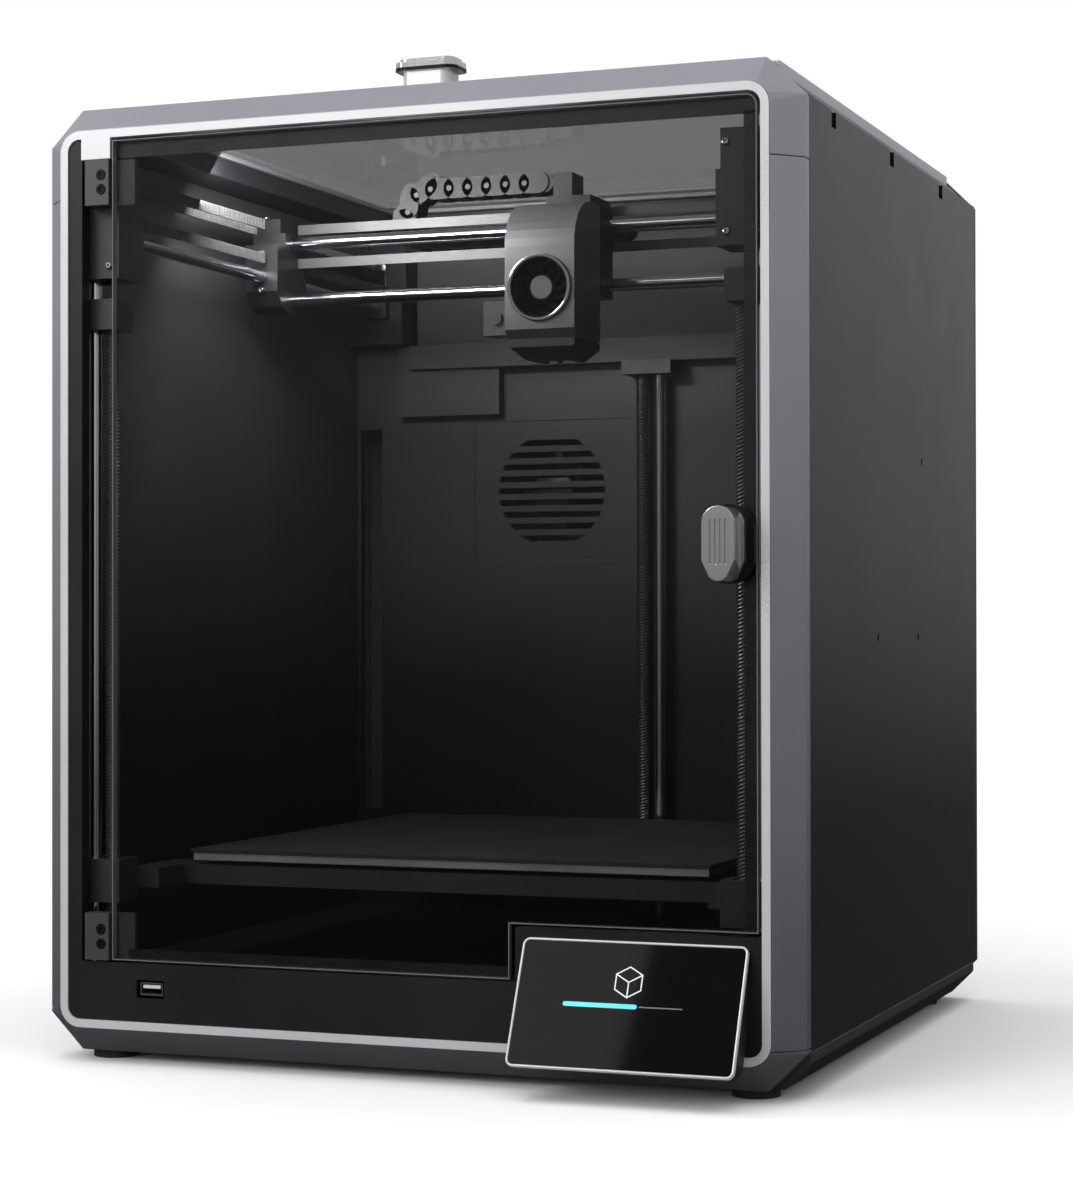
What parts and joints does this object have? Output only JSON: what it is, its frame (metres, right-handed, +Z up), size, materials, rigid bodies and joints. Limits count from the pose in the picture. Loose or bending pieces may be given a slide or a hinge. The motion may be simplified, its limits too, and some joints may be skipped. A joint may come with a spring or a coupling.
{
  "type": "fdm printer",
  "caption": "Enclosed desktop filament printer with a smoked glass door, lift-off lid, tilted touch screen, crossed-belt print head and a bed on lead screws.",
  "frame": {"origin": "centre of the bounding box at its underside, on the surface the feet stand on", "axes": "+X to the right seen from the front, +Y to the back, +Z up"},
  "size_m": [0.435, 0.4619, 0.546],
  "materials": {
    "case_grey": "satin metallic grey",
    "ring_silver": "fine matt anodised",
    "bezel_black": "matt black",
    "usb_steel": "plain",
    "screen_black": "matt black",
    "screen_silver": "polished edge",
    "screen_face": "black glass with a lit picture",
    "rail_grey": "satin grey",
    "foot_rubber": "moulded",
    "panel_black": "gloss black",
    "rear_black": "grained black",
    "inner_black": "powder coat",
    "rod_steel": "ground and hardened",
    "bracket_black": "cast and coated",
    "motor_black": "black with bare ends",
    "belt_rubber": "toothed",
    "socket_black": "moulded",
    "fan_black": "moulded",
    "inlet_black": "moulded",
    "pin_steel": "turned",
    "door_smoke": "tinted toughened glass",
    "handle_black": "moulded",
    "handle_silver": "satin with ribs",
    "hinge_grey": "grey coat",
    "screw_black": "black oxide",
    "lid_grey": "light satin grey",
    "lid_smoke": "smoked clear sheet",
    "knob_grey": "satin",
    "knob_chrome": "polished",
    "chain_black": "moulded links",
    "head_black": "moulded",
    "head_silver": "brushed grey",
    "head_ring": "bright turned edge",
    "sensor_grey": "moulded",
    "hot_brass": "machined",
    "frame_dark": "powder coat",
    "bed_alloy": "milled plate",
    "plate_dark": "textured coat on spring steel",
    "screw_steel": "rolled thread",
    "pulley_alloy": "turned"
  },
  "bodies": {
    "chassis": {"front_top_moulding": "case_grey", "front_posts": "case_grey", "front_bottom_moulding": "case_grey", "trim_ring": "ring_silver", "front_bezel": "bezel_black", "usb_port": "usb_steel", "screen_housing": "screen_black", "screen_rim": "screen_silver", "screen_glass": "screen_face", "base_tray": "rail_grey", "feet": "foot_rubber", "top_frame": "rail_grey", "side_panels": "panel_black", "rear_frame": "rail_grey", "rear_cover": "rear_black", "fan_guard": "rear_black", "inner_walls": "inner_black", "guide_rods": "rod_steel", "guide_brackets": "bracket_black", "front_rod_blocks": "bracket_black", "rear_brackets": "bracket_black", "motors": "motor_black", "z_belt": "belt_rubber", "power_inlet": "socket_black", "exhaust_housing": "fan_black", "filament_inlet": "inlet_black", "hinge_pins": "pin_steel", "belt_fixed_runs": "belt_rubber", "belt_side_runs": "belt_rubber"},
    "door": {"door_glass": "door_smoke", "door_handle_base": "handle_black", "door_handle_grip": "handle_silver", "hinge_leaves": "hinge_grey", "hinge_screws": "screw_black"},
    "lid": {"lid_frame": "lid_grey", "lid_window": "lid_smoke", "lid_knob_stem": "knob_grey", "lid_knob_cap": "knob_chrome"},
    "gantry": {"x_rods": "rod_steel", "x_end_blocks": "bracket_black", "belt_cross_runs": "belt_rubber", "drag_chain": "chain_black"},
    "head": {"head_body": "head_black", "head_cover": "head_silver", "head_fan_ring": "head_ring", "range_sensor": "sensor_grey", "hot_end": "hot_brass"},
    "head_fan": {"head_fan_rotor": "fan_black"},
    "bed": {"bed_frame": "frame_dark", "heated_bed": "bed_alloy", "build_plate": "plate_dark", "lead_nuts": "hot_brass"},
    "screw_left": {"leadscrew_left": "screw_steel"},
    "screw_right": {"leadscrew_right": "screw_steel"},
    "screw_rear": {"leadscrew_rear": "screw_steel"},
    "pulley_left": {"xy_pulley_left": "pulley_alloy"},
    "pulley_right": {"xy_pulley_right": "pulley_alloy"},
    "pulley_z": {"z_pulley": "pulley_alloy"},
    "exhaust_fan": {"exhaust_rotor": "fan_black"},
    "rocker": {"power_rocker": "socket_black"}
  },
  "joints": [
    {"name": "door_hinge", "type": "hinge", "parent": "chassis", "child": "door", "pos_m": [-0.183, -0.1978, 0.28], "axis": [0, 0, -1], "range_deg": [0, 115]},
    {"name": "lid_lift", "type": "slide", "parent": "chassis", "child": "lid", "axis": [0, 0, 1], "range_m": [0, 0.1]},
    {"name": "gantry_y", "type": "slide", "parent": "chassis", "child": "gantry", "axis": [0, 1, 0], "range_m": [-0.145, 0.128], "deforming": ["belt_side_runs"]},
    {"name": "head_x", "type": "slide", "parent": "gantry", "child": "head", "axis": [1, 0, 0], "range_m": [-0.151, 0.123], "deforming": ["drag_chain"]},
    {"name": "head_fan_spin", "type": "hinge", "parent": "head", "child": "head_fan", "pos_m": [0.02, -0.035, 0.435], "axis": [0, 1, 0], "continuous": true},
    {"name": "bed_z", "type": "slide", "parent": "chassis", "child": "bed", "axis": [0, 0, 1], "range_m": [-0.03, 0.278]},
    {"name": "screw_left_spin", "type": "hinge", "parent": "chassis", "child": "screw_left", "pos_m": [-0.183, -0.179, 0.205], "axis": [0, 0, 1], "continuous": true},
    {"name": "screw_right_spin", "type": "hinge", "parent": "chassis", "child": "screw_right", "pos_m": [0.183, -0.179, 0.205], "axis": [0, 0, 1], "continuous": true},
    {"name": "screw_rear_spin", "type": "hinge", "parent": "chassis", "child": "screw_rear", "pos_m": [0.005, 0.184, 0.205], "axis": [0, 0, 1], "continuous": true},
    {"name": "pulley_z_spin", "type": "hinge", "parent": "chassis", "child": "pulley_z", "pos_m": [0.08, 0.059, 0.035], "axis": [0, 0, 1], "continuous": true},
    {"name": "pulley_left_spin", "type": "hinge", "parent": "chassis", "child": "pulley_left", "pos_m": [-0.184, 0.194, 0.487], "axis": [0, 0, 1], "continuous": true},
    {"name": "pulley_right_spin", "type": "hinge", "parent": "chassis", "child": "pulley_right", "pos_m": [0.184, 0.194, 0.466], "axis": [0, 0, 1], "continuous": true},
    {"name": "exhaust_spin", "type": "hinge", "parent": "chassis", "child": "exhaust_fan", "pos_m": [-0.063, 0.203, 0.33], "axis": [0, 1, 0], "continuous": true},
    {"name": "power_rock", "type": "hinge", "parent": "chassis", "child": "rocker", "pos_m": [0.1575, 0.216, 0.064], "axis": [1, 0, 0], "range_deg": [-16, 0]}
  ],
  "couplings": [
    {"joint": "screw_left_spin", "follows": "bed_z", "rad_per_m": -785.4},
    {"joint": "screw_right_spin", "follows": "bed_z", "rad_per_m": -785.4},
    {"joint": "screw_rear_spin", "follows": "bed_z", "rad_per_m": -785.4},
    {"joint": "pulley_z_spin", "follows": "bed_z", "rad_per_m": -785.4},
    {"joint": "pulley_left_spin", "follows": "gantry_y", "rad_per_m": 125},
    {"joint": "pulley_right_spin", "follows": "gantry_y", "rad_per_m": -125}
  ]
}
